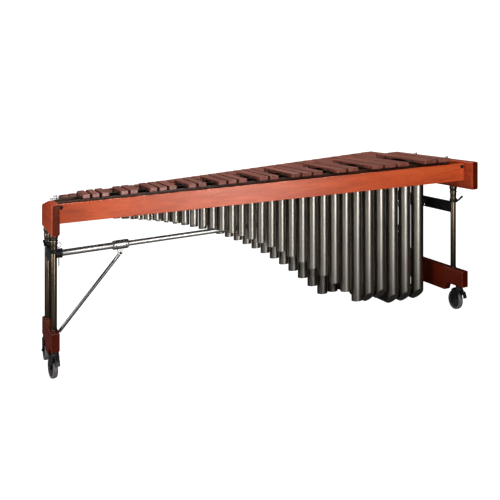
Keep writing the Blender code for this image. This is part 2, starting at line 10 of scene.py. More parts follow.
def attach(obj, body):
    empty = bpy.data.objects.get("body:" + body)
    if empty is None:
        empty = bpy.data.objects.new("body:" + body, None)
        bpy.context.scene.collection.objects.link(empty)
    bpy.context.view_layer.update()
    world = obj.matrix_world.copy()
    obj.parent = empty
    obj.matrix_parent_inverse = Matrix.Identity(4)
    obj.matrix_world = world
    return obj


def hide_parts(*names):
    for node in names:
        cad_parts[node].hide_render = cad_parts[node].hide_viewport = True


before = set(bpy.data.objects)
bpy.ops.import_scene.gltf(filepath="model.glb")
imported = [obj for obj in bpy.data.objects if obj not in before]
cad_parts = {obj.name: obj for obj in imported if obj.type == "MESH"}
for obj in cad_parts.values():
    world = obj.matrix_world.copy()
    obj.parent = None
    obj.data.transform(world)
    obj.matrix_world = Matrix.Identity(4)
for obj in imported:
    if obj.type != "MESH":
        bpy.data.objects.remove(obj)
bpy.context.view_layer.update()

# ---------------------------------------------------------------- sizes shared with the CAD model
LENGTH = 2.60
PANEL_THICKNESS = 0.047
INNER_X = LENGTH / 2 - PANEL_THICKNESS
POST_X = LENGTH / 2 - PANEL_THICKNESS / 2
PANEL_BOTTOM = 0.806
GAP = 0.0003

FIRST_STEP_X = 1.141
STEADY_PITCH = 0.048
EXTRA_PITCH = 0.715
PITCH_FADE = 13.88
ACCIDENTAL_STEPS = 34
EMPTY_STEPS = (2, 6)
NATURALS = 36
BAR_THICKNESS = 0.022
NATURAL_TOP = 0.972
ACCIDENTAL_TOP = 1.006
NATURAL_SPACING = 0.008
ACCIDENTAL_SPACING = 0.013
NODE_SHARE = 0.224
BAR_RAIL_DROP = 0.030  # from the top of a bar to the top of the rail under it

TUBE_TOP_ACCIDENTAL = 0.950
TUBE_TOP_NATURAL = 0.928
TUBE_RADIUS_SHARES = {"natural": 0.442, "accidental": 0.42}
TUBE_WALL = 0.0018
TUBE_SIDES = 32
STOP_LOW, STOP_HIGH = 0.003, 0.006  # a plain tube's stop, above its foot
TUBE_SHORTEST = 0.035
TUBE_MIDDLE = 0.237
TUBE_GROWTH = 0.0955
TUBE_SHARES = {"natural": 1.08, "accidental": 1.0}
LONGEST_TUBE = 0.875
FOLDED_FEET = (0.026, 0.024, 0.024, 0.072, 0.066)
FOLD_REACH = 0.205
FOLD_RISE = 0.42
FOLDED_STOP_DEPTH = 0.30

POSTS = {
    "left_audience": (-1, -0.1765),
    "left_player": (-1, 0.0765),
    "right_audience": (1, -0.3767),
    "right_player": (1, 0.3767),
}
CASTERS = {
    "left_audience": (-1, -0.215, 98),
    "left_player": (-1, 0.113, 90),
    "right_audience": (1, -0.440, 90),
    "right_player": (1, 0.440, 78),
}
BEAM_TOP = 0.267
CORE_RADIUS = 0.0144
CORE_FOOT_Z = 0.45
FLANGE_Z = PANEL_BOTTOM - 0.042
POST_BORE = 0.0151
POST_RADIUS = 0.0175
CLAMP_Z = 0.712
STRETCHER_Y = -0.05
STRETCHER_Z = 0.669
STRETCHER_RADIUS = 0.0187
STRETCHER_INNER_RADIUS = 0.0158
SLEEVE_HALF = 0.047
SLEEVES = {"left": (-1, -0.870, STRETCHER_RADIUS), "right": (1, 1.000, STRETCHER_INNER_RADIUS)}
PIVOT_DROP = 0.050
BRACE_RADIUS = 0.0102
BRACE_FOOT_Z = 0.205
SOCKET_PLATE = 0.006
SOCKET_DEPTH = 0.053
CROSS_BAR_FACE = POST_X - 0.0125
WHEEL_RADIUS = 0.0625
CASTER_TRAIL = 0.038
CASTER_TOP = 0.161 - GAP
TREAD_HALF = 0.014
PEDAL_PIVOT = (0, -0.0378, 0.1265)


def step_x(step):
    return FIRST_STEP_X - STEADY_PITCH * step - EXTRA_PITCH * (1 - math.exp(-step / PITCH_FADE))


def pitch_at(step):
    return STEADY_PITCH + EXTRA_PITCH / PITCH_FADE * math.exp(-step / PITCH_FADE)


def across(at_left, at_right):
    return lambda x: at_left + (at_right - at_left) * (x + INNER_X) / (2 * INNER_X)


def between(near, far, share):
    return lambda x: near(x) + (far(x) - near(x)) * share


AUDIENCE_FACE = across(-0.1686, -0.5203)
ACCIDENTAL_NEAR = across(-0.145, -0.490)
ACCIDENTAL_FAR = across(0.033, 0.155)
NATURAL_NEAR = across(0.020, 0.035)
NATURAL_FAR = across(0.185, 0.610)
# near ends, far ends and tops of the bars, the space between bars, and the tops of the tubes
ROWS = {
    "natural": (NATURAL_NEAR, NATURAL_FAR, NATURAL_TOP, NATURAL_SPACING, TUBE_TOP_NATURAL),
    "accidental": (ACCIDENTAL_NEAR, ACCIDENTAL_FAR, ACCIDENTAL_TOP, ACCIDENTAL_SPACING, TUBE_TOP_ACCIDENTAL),
}


def row_steps(row):
    if row == "natural":
        return [i - 0.5 for i in range(NATURALS)]
    return [n for n in range(ACCIDENTAL_STEPS) if n % 7 not in EMPTY_STEPS]


# ---------------------------------------------------------------- materials
class Look:
    """One node material; constants go straight onto the shader's own sockets."""

    def __init__(self, name, **constants):
        self.material = bpy.data.materials.new(name)
        self.material.use_nodes = True
        self.nodes = self.material.node_tree.nodes
        self.links = self.material.node_tree.links
        self.shader = self.nodes["Principled BSDF"]
        for socket, value in constants.items():
            self.shader.inputs[socket.replace("_", " ")].default_value = value

    def add(self, kind, settings=None, **inputs):
        node = self.nodes.new(kind)
        for key, value in (settings or {}).items():
            setattr(node, key, value)
        for key, value in inputs.items():
            socket = node.inputs[int(key[1:])] if key[0] == "i" and key[1:].isdigit() else node.inputs[key]
            if isinstance(value, bpy.types.NodeSocket):
                self.links.new(value, socket)
            else:
                socket.default_value = value
        return node

    def maths(self, operation, first, second=0.0):
        return self.add("ShaderNodeMath", {"operation": operation}, i0=first, i1=second).outputs[0]

    def coordinates(self, stretch, island_shift=0.0):
        """Object coordinates scaled axis by axis, moved at random for each separate shell of the mesh."""
        place = self.add("ShaderNodeTexCoord").outputs["Object"]
        if island_shift:
            island = self.add("ShaderNodeNewGeometry").outputs["Random Per Island"]
            reach = (island_shift, 1.7 * island_shift, 0.6 * island_shift)
            shift = self.add("ShaderNodeVectorMath", {"operation": "SCALE"}, i0=reach)
            self.links.new(island, shift.inputs["Scale"])
            moved = self.add("ShaderNodeVectorMath", {"operation": "ADD"}, i0=place, i1=shift.outputs[0])
            place = moved.outputs[0]
        return self.add("ShaderNodeMapping", Vector=place, Scale=stretch).outputs[0]

    def noise(self, vector, detail, roughness=0.55, distortion=0.0):
        node = self.add(
            "ShaderNodeTexNoise",
            Vector=vector,
            Scale=1.0,
            Detail=detail,
            Roughness=roughness,
            Distortion=distortion,
        )
        return node.outputs[0]

    def ramp(self, factor, stops):
        node = self.add("ShaderNodeValToRGB", Fac=factor)
        band = node.color_ramp
        while len(band.elements) < len(stops):
            band.elements.new(0.5)
        for element, (position, colour) in zip(band.elements, stops):
            element.position = position
            element.color = (*colour, 1.0)
        return node.outputs[0]

    def multiply(self, first, second, amount=1.0):
        return self.add(
            "ShaderNodeMix", {"data_type": "RGBA", "blend_type": "MULTIPLY"}, i0=amount, i6=first, i7=second
        ).outputs[2]

    def mix(self, factor, first, second):
        return self.add("ShaderNodeMix", {"data_type": "RGBA"}, i0=factor, i6=first, i7=second).outputs[2]

    def spread(self, value, low, high, from_low=0.3, from_high=0.7):
        node = self.add("ShaderNodeMapRange", i1=from_low, i2=from_high, i3=low, i4=high)
        self.links.new(value, node.inputs[0])
        return node.outputs[0]

    def bump(self, height, distance, strength=1.0, normal=None):
        node = self.add("ShaderNodeBump", Height=height, Distance=distance, Strength=strength)
        if normal is not None:
            self.links.new(normal, node.inputs["Normal"])
        return node.outputs[0]

    def finish(self, colour=None, roughness=None, normal=None):
        for socket, value in (("Base Color", colour), ("Roughness", roughness), ("Normal", normal)):
            if value is not None:
                self.links.new(value, self.shader.inputs[socket])
        return self.material


def along_axis(axis, along, across_axes):
    """A stretch that is small along one axis and large across it."""
    return tuple(along if i == axis else across_axes for i in range(3))


def wood(
    name, tones, axis, roughness=(0.32, 0.46), coat=0.25, island_shift=0, figure=1, pore=0.55, tint=0, end=1
):
    """Lacquered timber, its grain along one axis: slow figure, growth lines, fine pores, and faces that look
    along the grain painted darker, partly as end grain and partly as painted shade.
    """
    look = Look(name, Coat_Weight=coat, Coat_Roughness=0.22, Specular_IOR_Level=0.35)
    slow = look.noise(
        look.coordinates(along_axis(axis, 1.1, 17.0 * figure), island_shift),
        detail=5.0,
        roughness=0.6,
        distortion=0.8,
    )
    lines = look.noise(
        look.coordinates(along_axis(axis, 1.6, 95.0 * figure), island_shift),
        detail=3.0,
        roughness=0.65,
        distortion=0.5,
    )
    pores = look.noise(
        look.coordinates(along_axis(axis, 26.0, 620.0), island_shift), detail=2.0, roughness=0.5
    )
    colour = look.ramp(slow, [(0.28, tones[0]), (0.45, tones[1]), (0.58, tones[2]), (0.76, tones[3])])
    growth = look.ramp(lines, [(0.33, (pore,) * 3), (0.50, (0.95,) * 3), (0.72, (1.0, 1.0, 1.0))])
    colour = look.multiply(colour, growth, 0.85)
    # Faces that look along the grain are painted darker: partly end grain, which soaks up stain, and partly
    # painted shade on the near faces of the panels and beams.
    if end < 1:
        facing = look.add("ShaderNodeTexCoord").outputs["Normal"]
        grain_way = tuple(float(i == axis) for i in range(3))
        along = look.add("ShaderNodeVectorMath", {"operation": "DOT_PRODUCT"}, i0=facing, i1=grain_way)
        square_on = look.maths("ABSOLUTE", along.outputs["Value"])
        end_grain_and_painted_shade = look.ramp(square_on, [(0.75, (1.0, 1.0, 1.0)), (0.97, (end, end * 0.85, end * 0.8))])
        colour = look.multiply(colour, end_grain_and_painted_shade)
        for socket, full in (("Specular IOR Level", 0.35), ("Coat Weight", coat)):
            gloss = look.spread(square_on, full, 0.25 * full, 0.75, 0.97)
            look.links.new(gloss, look.shader.inputs[socket])
    open_pores = look.ramp(pores, [(0.34, (pore,) * 3), (0.46, (1.0, 1.0, 1.0))])
    colour = look.multiply(colour, open_pores, 0.6)
    if tint:
        island = look.add("ShaderNodeNewGeometry").outputs["Random Per Island"]
        dark, light = (1 - tint,) * 3, (1 + tint, 1 + 0.8 * tint, 1 + 0.6 * tint)
        shade = look.ramp(island, [(0.0, dark), (0.5, (1.0, 0.96, 0.94)), (1.0, light)])
        colour = look.multiply(colour, shade)
    rough = look.spread(lines, roughness[1], roughness[0])
    normal = look.bump(pores, 0.0005, 0.35, look.bump(lines, 0.0012, 0.25))
    return look.finish(colour, rough, normal)


def drawn_metal(name, colour, roughness, axis, contrast=0.14, island_shift=0.0, relief=0.0002):
    """Satin metal with faint lines along its length, cloudy handling marks and slightly uneven gloss."""
    look = Look(name, Metallic=1.0)
    drawn = look.coordinates(along_axis(axis, 3.0, 420.0), island_shift)
    lines = look.noise(drawn, detail=3.0, roughness=0.7)
    clouds = look.noise(
        look.coordinates((5.0, 5.0, 5.0), island_shift), detail=5.0, roughness=0.6, distortion=0.4
    )
    dark = tuple(c * (1 - contrast) for c in colour)
    light = tuple(min(1.0, c * (1 + contrast)) for c in colour)
    shade = look.ramp(clouds, [(0.3, dark), (0.7, light)])
    streaks = look.ramp(lines, [(0.3, (1 - contrast,) * 3), (0.65, (1.0, 1.0, 1.0))])
    shade = look.multiply(shade, streaks, 0.8)
    rough = look.spread(clouds, roughness - 0.4 * contrast, roughness + 0.5 * contrast)
    normal = look.bump(lines, relief, 0.3)
    return look.finish(shade, rough, normal)


def coated(name, colour, roughness, grain=900.0, depth=0.0002, dust=None):
    """Moulded plastic, powder coat or rubber: a fine pebbled skin with cloudy wear and a little dust."""
    look = Look(name, Specular_IOR_Level=0.25)
    pebble = look.noise(look.coordinates((grain, grain, grain)), detail=2.0, roughness=0.5)
    clouds = look.noise(look.coordinates((14.0, 14.0, 14.0)), detail=6.0, roughness=0.65, distortion=0.3)
    light = tuple(min(1.0, c * 1.5 + 0.004) for c in colour)
    shade = look.ramp(clouds, [(0.32, colour), (0.72, light)])
    if dust is not None:
        spots = look.noise(look.coordinates((38.0, 38.0, 38.0)), detail=8.0, roughness=0.72)
        cover = look.ramp(spots, [(0.50, (0.0, 0.0, 0.0)), (0.80, (0.55, 0.55, 0.55))])
        shade = look.mix(cover, shade, (*dust, 1.0))
    rough = look.spread(clouds, roughness - 0.06, roughness + 0.08)
    normal = look.bump(pebble, depth, 0.4)
    return look.finish(shade, rough, normal)


RAIL_WOOD = wood(
    "rail_wood",
    [(0.38, 0.058, 0.014), (0.50, 0.083, 0.020), (0.56, 0.098, 0.026), (0.63, 0.128, 0.036)],
    0,
    roughness=(0.32, 0.44),
    coat=0.24,
    figure=0.8,
    pore=0.80,
)
PANEL_WOOD = wood(
    "panel_wood",
    [(0.24, 0.035, 0.012), (0.33, 0.050, 0.016), (0.38, 0.060, 0.020), (0.45, 0.080, 0.027)],
    1,
    roughness=(0.34, 0.46),
    coat=0.10,
    pore=0.78,
    # end: the panels' near faces painted much darker, as end grain and as painted shade
    end=0.32,
)
BEAM_WOOD = wood(
    "beam_wood",
    [(0.085, 0.010, 0.003), (0.120, 0.014, 0.004), (0.145, 0.018, 0.005), (0.18, 0.026, 0.008)],
    1,
    roughness=(0.30, 0.44),
    coat=0.30,
    pore=0.75,
    # end: the beams' near faces painted darker, as end grain and as painted shade
    end=0.60,
)
# The rails under the bars: the rail timber painted near black, as painted shade where the bars shade them.
SHADED_RAIL_WOOD = wood(
    "inner_wood",
    [(0.045, 0.020, 0.012), (0.065, 0.030, 0.018), (0.080, 0.038, 0.023), (0.11, 0.055, 0.034)],
    0,
    coat=0.1,
)
BAR_WOOD = wood(
    "bar_wood",
    [(0.15, 0.050, 0.036), (0.23, 0.083, 0.060), (0.29, 0.114, 0.086), (0.38, 0.160, 0.124)],
    1,
    roughness=(0.30, 0.46),
    coat=0.22,
    island_shift=9.0,
    tint=0.14,
)
TUBE_METAL = drawn_metal(
    "tube_metal", (0.365, 0.342, 0.305), 0.34, 2, contrast=0.04, island_shift=5.0, relief=0.00003
)
PLATE_METAL = coated(
    "plate_metal", (0.055, 0.050, 0.047), 0.55, grain=420.0, depth=0.0006, dust=(0.10, 0.092, 0.085)
)
POST_METAL = drawn_metal("post_metal", (0.112, 0.087, 0.064), 0.32, 2, contrast=0.06, relief=0.00005)
CUP_BRONZE = drawn_metal("cup_bronze", (0.10, 0.088, 0.070), 0.40, 2, contrast=0.10)
SATIN_STEEL = drawn_metal("satin_steel", (0.24, 0.22, 0.18), 0.34, 2, contrast=0.08)
STEEL = drawn_metal("stretcher_steel", (0.42, 0.41, 0.40), 0.40, 0, contrast=0.05, relief=0.00004)
BRACE_STEEL = drawn_metal("brace_steel", (0.125, 0.125, 0.125), 0.34, 2, contrast=0.03, relief=0.00001)
BRIGHT_STEEL = drawn_metal("bright_steel", (0.80, 0.80, 0.79), 0.18, 2, contrast=0.06)
BLACK_BAR = coated("black_bar", (0.006, 0.006, 0.0065), 0.42, grain=700.0)
BLACK_FITTINGS = coated("black_fittings", (0.010, 0.010, 0.011), 0.50)
CASTER_BLACK = coated("caster_black", (0.014, 0.014, 0.015), 0.36, grain=500.0, dust=(0.05, 0.046, 0.04))
WHEEL_RUBBER = coated(
    "wheel_rubber", (0.135, 0.125, 0.127), 0.66, grain=650.0, depth=0.0004, dust=(0.30, 0.285, 0.265)
)
WHEEL_DISC = coated("wheel_disc", (0.030, 0.029, 0.031), 0.48, grain=420.0, dust=(0.09, 0.085, 0.080))
CORD_FIBRE = coated("cord_fibre", (0.05, 0.045, 0.035), 0.85, grain=1600.0, depth=0.0006)


# ---------------------------------------------------------------- mesh building
SMOOTH_BELOW = math.radians(35)  # faces that meet at less than this are shaded as one
BEVEL_ABOVE = math.radians(38)  # edges sharper than this are rounded
CORNER_STEPS = 2


class Shells:
    """Collects closed shells for one piece."""

    def __init__(self):
        self.mesh = bmesh.new()

    def add(self, verts, faces, looks):
        points = [self.mesh.verts.new(v) for v in verts]
        for face, look in zip(faces, looks):
            made = self.mesh.faces.new([points[i] for i in face])
            made.material_index = look

    def prism(self, outline, axis, low, high, look=0):
        """An outline in the two other axes, pushed along one axis."""
        others = [i for i in range(3) if i != axis]
        verts = []
        for level in (low, high):
            for point in outline:
                place = [0.0, 0.0, 0.0]
                place[axis] = level
                place[others[0]], place[others[1]] = point
                verts.append(tuple(place))
        count = len(outline)
        sides = [[i, (i + 1) % count, count + (i + 1) % count, count + i] for i in range(count)]
        faces = [list(range(count)), list(range(count, 2 * count))] + sides
        self.add(verts, faces, [look] * len(faces))

    def loft(self, rings, look=0, loop=False, looks=None):
        """A skin through rings of equal size, closed by its end rings or back on itself."""
        count = len(rings[0])
        verts = [point for ring in rings for point in ring]
        faces, face_looks = [], []
        last = len(rings) if loop else len(rings) - 1
        for level in range(last):
            base, top = level * count, ((level + 1) % len(rings)) * count
            for i in range(count):
                j = (i + 1) % count
                faces.append([base + i, base + j, top + j, top + i])
                face_looks.append(looks[level] if looks else look)
        if not loop:
            faces.append(list(range(count)))
            faces.append(list(range((len(rings) - 1) * count, len(rings) * count)))
            face_looks += [looks[0] if looks else look, looks[-1] if looks else look]
        self.add(verts, faces, face_looks)

    def lathe(self, profile, centre, direction=(0, 0, 1), sides=32, look=0, loop=False):
        """Turns a (radius, height) profile about a line; a loop profile comes back to its start."""
        along = Vector(direction).normalized()
        side = along.orthogonal().normalized()
        if abs(along.z) > 0.99:
            side = Vector((1, 0, 0))
        up = along.cross(side)
        centre = Vector(centre)
        rings = []
        for radius, height in profile:
            ring = []
            for i in range(sides):
                angle = 2 * math.pi * (i + 0.5) / sides
                outward = math.cos(angle) * side + math.sin(angle) * up
                ring.append(centre + along * height + radius * outward)
            rings.append(ring)
        self.loft(rings, look, loop)

    def sweep(self, path, radius, sides=10, look=0, loop=False):
        """A round bar along a path; radius is a number or one number for each point."""
        points = [Vector(p) for p in path]
        radii = radius if isinstance(radius, (list, tuple)) else [radius] * len(points)
        count = len(points)
        rings = []
        normal = None
        for i, point in enumerate(points):
            ahead = points[(i + 1) % count] if loop or i + 1 < count else point
            behind = points[i - 1] if loop or i > 0 else point
            along = (ahead - behind).normalized()
            normal = along.orthogonal() if normal is None else normal - along * normal.dot(along)
            normal.normalize()
            up = along.cross(normal)
            ring = []
            for k in range(sides):
                angle = 2 * math.pi * k / sides
                ring.append(point + radii[i] * (math.cos(angle) * normal + math.sin(angle) * up))
            rings.append(ring)
        self.loft(rings, look, loop)

    def piece(self, name, looks, body, replaces=(), bevel=0.0, segments=2, place=None):
        """Turns the shells into a shown piece that rides on a CAD body."""
        bmesh.ops.remove_doubles(self.mesh, verts=self.mesh.verts, dist=0.00001)
        bmesh.ops.recalc_face_normals(self.mesh, faces=self.mesh.faces)
        mesh = bpy.data.meshes.new(name)
        self.mesh.to_mesh(mesh)
        self.mesh.free()
        item = bpy.data.objects.new(name, mesh)
        bpy.context.collection.objects.link(item)
        for look in looks:
            mesh.materials.append(look)
        mesh.shade_smooth()
        mesh.set_sharp_from_angle(angle=SMOOTH_BELOW)
        if bevel:
            edge = item.modifiers.new("edges", "BEVEL")
            edge.width = bevel
            edge.segments = segments
            edge.limit_method = "ANGLE"
            edge.angle_limit = BEVEL_ABOVE
            edge.harden_normals = True
        if place is not None:
            item.matrix_world = place
        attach(item, body)
        if replaces:
            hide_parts(*replaces)


def arc(centre, radius, start, end, steps):
    """Points on an arc in a plane, angles in degrees."""
    points = []
    for i in range(steps + 1):
        angle = math.radians(start + (end - start) * i / steps)
        points.append((centre[0] + radius * math.cos(angle), centre[1] + radius * math.sin(angle)))
    return points


def arc_box(u0, u1, v0, v1, radius):
    """The outline of a rectangle with rounded corners."""
    low_u, high_u, low_v, high_v = u0 + radius, u1 - radius, v0 + radius, v1 - radius
    corners = {180: (low_u, low_v), 270: (high_u, low_v), 0: (high_u, high_v), 90: (low_u, high_v)}
    points = []
    for start, centre in corners.items():
        points += arc(centre, radius, start, start + 90, 4)
    return points


def softened(profile, amount):
    """A (radius, height) profile with its corners rounded."""
    made = []
    count = len(profile)
    for i, corner in enumerate(profile):
        if i in (0, count - 1):
            made.append(corner)
            continue
        here = Vector(corner)
        back, ahead = Vector(profile[i - 1]) - here, Vector(profile[i + 1]) - here
        size = min(amount, back.length * 0.45, ahead.length * 0.45)
        start, end = here + back.normalized() * size, here + ahead.normalized() * size
        for k in range(CORNER_STEPS + 1):
            t = k / CORNER_STEPS
            point = start * (1 - t) ** 2 + here * 2 * t * (1 - t) + end * t * t
            made.append((point.x, point.y))
    return made


def paint(node, look):
    """Gives a carried-over CAD node its detailed material."""
    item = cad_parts[node]
    item.data.materials.clear()
    item.data.materials.append(look)


# ---------------------------------------------------------------- keyboard
def bar_outline(near, far, top, cut):
    """The side of one bar: flat on top, with a tuned arch underneath."""
    low = top - BAR_THICKNESS
    length = far - near
    arch = []
    for i in range(9):
        t = i / 8
        arch.append((near + length * (0.29 + 0.42 * t), low + cut * math.sin(math.pi * t) ** 0.7))
    start = [(near, top), (near, low), (near + 0.27 * length, low)]
    return start + arch + [(far - 0.27 * length, low), (far, low), (far, top)]


def bars():
    """Each row of bars as three pieces, low, middle and high."""
    for row, (near, far, top, spacing, _) in ROWS.items():
        steps = row_steps(row)
        third = len(steps) // 3
        groups = {"low": steps[:third], "middle": steps[third : 2 * third], "high": steps[2 * third :]}
        for group, members in groups.items():
            shells = Shells()
            for step in members:
                x = step_x(step)
                half = (pitch_at(step) - spacing) / 2
                cut = 0.010 if group == "low" else 0.008
                shells.prism(bar_outline(near(x), far(x), top, cut), 0, x - half, x + half)
            name = f"{row}_bars_{group}"
            timber = f"rosewood_{name}"
            shells.piece(timber, [BAR_WOOD], "upper_frame", [name], bevel=0.0022, segments=3)


def string_lines():
    """The cords through the bars' nodes, the posts that carry them, and the eyes at their ends."""
    cords = Shells()
    posts = Shells()
    reach = INNER_X - 0.012
    for row, (near, far, top, _, _) in ROWS.items():
        level = top - BAR_THICKNESS / 2
        gaps = sorted({n + side for n in row_steps(row) for side in (-0.5, 0.5)})
        for share in (NODE_SHARE, 1 - NODE_SHARE):
            line = between(near, far, share)
            path = [(x, line(x), level) for x in (reach * (1 - i / 12) for i in range(25))]
            cords.sweep(path, 0.0018, 8)
            for gap in gaps:
                x = step_x(gap)
                profile = [(0.0046, 0), (0.0046, 0.011), (0.0024, 0.014), (0.0024, 0.0265)]
                posts.lathe(softened(profile, 0.001), (x, line(x), top - BAR_RAIL_DROP), sides=12, look=1)
                hook = []
                for angle in (0.0, 0.8, 1.6, 2.4, 3.1):
                    rise, lean = 0.0026 * math.sin(angle), 0.0026 * math.cos(angle)
                    hook.append((x, line(x) + lean, level + 0.0032 + rise))
                posts.sweep(hook, 0.0011, 8)
            for side in (-1, 1):
                x = side * reach
                eye = []
                for i in range(16):
                    angle = 2 * math.pi * i / 16
                    eye.append((x + 0.0055 * math.cos(angle), line(x), level + 0.0055 * math.sin(angle)))
                posts.sweep(eye, 0.0013, 8, look=1, loop=True)
                stud = [(0.0005, 0.0), (0.0075, 0.0), (0.0075, 0.0016), (0.0016, 0.0022)]
                stud += [(0.0016, 0.0066), (0.0005, 0.0068)]
                posts.lathe(stud, (side * (INNER_X - 0.0001), line(x), level), (-side, 0, 0), 16, look=1)
    cords.piece("bar_strings", [CORD_FIBRE], "upper_frame")
    posts.piece("string_posts", [BRIGHT_STEEL, BLACK_FITTINGS], "upper_frame")


def frame_wood():
    for node in ("end_panel_left", "end_panel_right"):
        paint(node, PANEL_WOOD)
    for node in ("audience_rail", "bar_rail_natural_player"):
        paint(node, RAIL_WOOD)
    # the rails under the bars get the near-black painted-shade copy of the rail timber
    for node in ("bar_rail_accidental_audience", "bar_rail_accidental_player", "bar_rail_natural_audience"):
        paint(node, SHADED_RAIL_WOOD)
    for node in ("foot_beam_left", "foot_beam_right"):
        paint(node, BEAM_WOOD)
    for node in ("cross_bar_left", "cross_bar_right"):
        paint(node, BLACK_BAR)


def bolt_head(shells, centre, direction, radius=0.0095, look=0):
    """A low domed socket head on a thin washer."""
    shares = [(1.22, -0.0005), (1.22, 0.0010), (1.0, 0.0011), (0.97, 0.0028)]
    shares += [(0.72, 0.0046), (0.42, 0.0050), (0.40, 0.0022), (0.05, 0.0021)]
    profile = [(radius * share, height) for share, height in shares]
    shells.lathe(profile, centre, direction, 24, look)


def rail_bolts():
    shells = Shells()
    slope = (AUDIENCE_FACE(INNER_X) - AUDIENCE_FACE(-INNER_X)) / (2 * INNER_X)
    outward = Vector((slope, -1, 0)).normalized()
    for x in (-INNER_X + 0.017, INNER_X - 0.014):
        bolt_head(shells, (x, AUDIENCE_FACE(x), 0.9495), outward)
    shells.piece("rail_bolts", [BLACK_FITTINGS], "upper_frame")


# ---------------------------------------------------------------- resonators
def tube_length(step, share):
    return min(share * (TUBE_SHORTEST + TUBE_MIDDLE * math.exp(TUBE_GROWTH * (18 - step))), LONGEST_TUBE)


def circle(x, y, z, radius):
    angles = [2 * math.pi * (i + 0.5) / TUBE_SIDES for i in range(TUBE_SIDES)]
    return [(x + radius * math.cos(angle), y + radius * math.sin(angle), z) for angle in angles]


def plain_tube(shells, x, y, radius, bottom, top):
    """A thin tube, open at the top and stopped just above its foot."""
    inside = radius - TUBE_WALL
    middle = inside * 0.3
    outline = [(middle, bottom + STOP_HIGH), (inside, bottom + STOP_HIGH), (inside, top), (radius, top)]
    outline += [(radius, bottom), (inside, bottom), (inside, bottom + STOP_LOW), (middle, bottom + STOP_LOW)]
    shells.loft([circle(x, y, z, size) for size, z in outline], looks=[1, 0, 0, 0, 0, 0, 1])


def folded_tube(shells, x, y, radius, bottom, top):
    """A tube that turns level and then up again, each outer corner cut off square and plated."""
    centre_z = bottom + radius
    far_y = y + FOLD_REACH
    mesh = shells.mesh

    def ring(where):
        return [where(c, s) for c, s, _ in circle(0, 0, 0, radius)]

    def skin(first, second):
        a = [mesh.verts.new(p) for p in first]
        b = [mesh.verts.new(p) for p in second]
        for i in range(TUBE_SIDES):
            j = (i + 1) % TUBE_SIDES
            mesh.faces.new([a[i], a[j], b[j], b[i]])
        return b

    head = circle(x, y, top, radius)
    lip = circle(x, y, top, radius - TUBE_WALL)
    floor = circle(x, y, top - FOLDED_STOP_DEPTH, radius - TUBE_WALL)
    foot = ring(lambda c, s: (x + c, y + s, centre_z + abs(s)))
    leg_near = ring(lambda c, s: (x + c, y + abs(s), centre_z + s))
    leg_far = ring(lambda c, s: (x + c, far_y - abs(s), centre_z + s))
    rise_foot = ring(lambda c, s: (x + c, far_y - s, centre_z + abs(s)))
    rise_head = ring(lambda c, s: (x + c, far_y - s, bottom + FOLD_RISE))
    mesh.faces.new(skin(lip, floor)).material_index = 1
    skin(lip, head)
    skin(head, foot)
    skin(leg_near, leg_far)
    mesh.faces.new(skin(rise_foot, rise_head)).material_index = 1
    half = TUBE_SIDES // 2
    for upright, level in ((foot, leg_near), (rise_foot, leg_far)):
        plate = upright[half:] + level[half:][::-1]
        mesh.faces.new([mesh.verts.new(p) for p in plate]).material_index = 1


def resonator_banks():
    banks = {
        "accidental_low": ("accidental", list(range(14))),
        "accidental_high": ("accidental", list(range(14, ACCIDENTAL_STEPS))),
        "natural_low": ("natural", row_steps("natural")[:15]),
        "natural_high": ("natural", row_steps("natural")[15:]),
    }
    for name, (row, steps) in banks.items():
        near, far, _, _, top = ROWS[row]
        line = between(near, far, 0.5)
        shells = Shells()
        for step in steps:
            x, y = step_x(step), line(step_x(step))
            radius = pitch_at(step) * TUBE_RADIUS_SHARES[row]
            if row == "accidental" and step < len(FOLDED_FEET):
                folded_tube(shells, x, y, radius, FOLDED_FEET[step], top)
            else:
                plain_tube(shells, x, y, radius, top - tube_length(step, TUBE_SHARES[row]), top)
        looks = [TUBE_METAL, PLATE_METAL]
        shells.piece(f"tubes_{name}", looks, "upper_frame", [f"resonators_{name}"])
        strips = Shells()
        for side in (-1, 1):
            rings = []
            for i in range(13):
                step = steps[0] - 0.5 + (steps[-1] - steps[0] + 1) * i / 12
                x = step_x(step) + (-0.001 if i == 0 else 0.001 if i == 12 else 0.0)
                y = line(x) + side * (pitch_at(step) * TUBE_RADIUS_SHARES[row] + 0.0012)
                face = y + side * 0.0016
                rings.append([(x, y, top - 0.024), (x, face, top - 0.024), (x, face, top), (x, y, top)])
            strips.loft(rings)
        strips.piece(f"tube_strips_{name}", [TUBE_METAL], "upper_frame")


# ---------------------------------------------------------------- stand
def inner_post(name, x, y):
    """The post that slides with the keyboard, its flange, and the cup under the end panel."""
    shells = Shells()
    core = [(0.002, CORE_FOOT_Z), (CORE_RADIUS, CORE_FOOT_Z)]
    core += [(CORE_RADIUS, FLANGE_Z - 0.001), (0.002, FLANGE_Z - 0.001)]
    shells.lathe(softened(core, 0.001), (x, y, 0), sides=40)
    flange_top = FLANGE_Z + 0.007
    ring = [(0.014, FLANGE_Z), (0.0232, FLANGE_Z), (0.0232, flange_top), (0.014, flange_top)]
    shells.lathe(softened(ring, 0.0012), (x, y, 0), sides=40)
    cup_low, cup_top = FLANGE_Z + 0.0068, PANEL_BOTTOM - GAP
    cup = [(0.013, cup_low), (0.0205, cup_low), (0.0212, cup_low + 0.012), (0.0243, cup_low + 0.020)]
    cup += [(0.0245, cup_top), (0.013, cup_top)]
    shells.lathe(softened(cup, 0.0015), (x, y, 0), sides=40, look=1)
    looks = [SATIN_STEEL, CUP_BRONZE]
    shells.piece(f"post_core_{name}", looks, "upper_frame", [f"inner_post_{name}"])


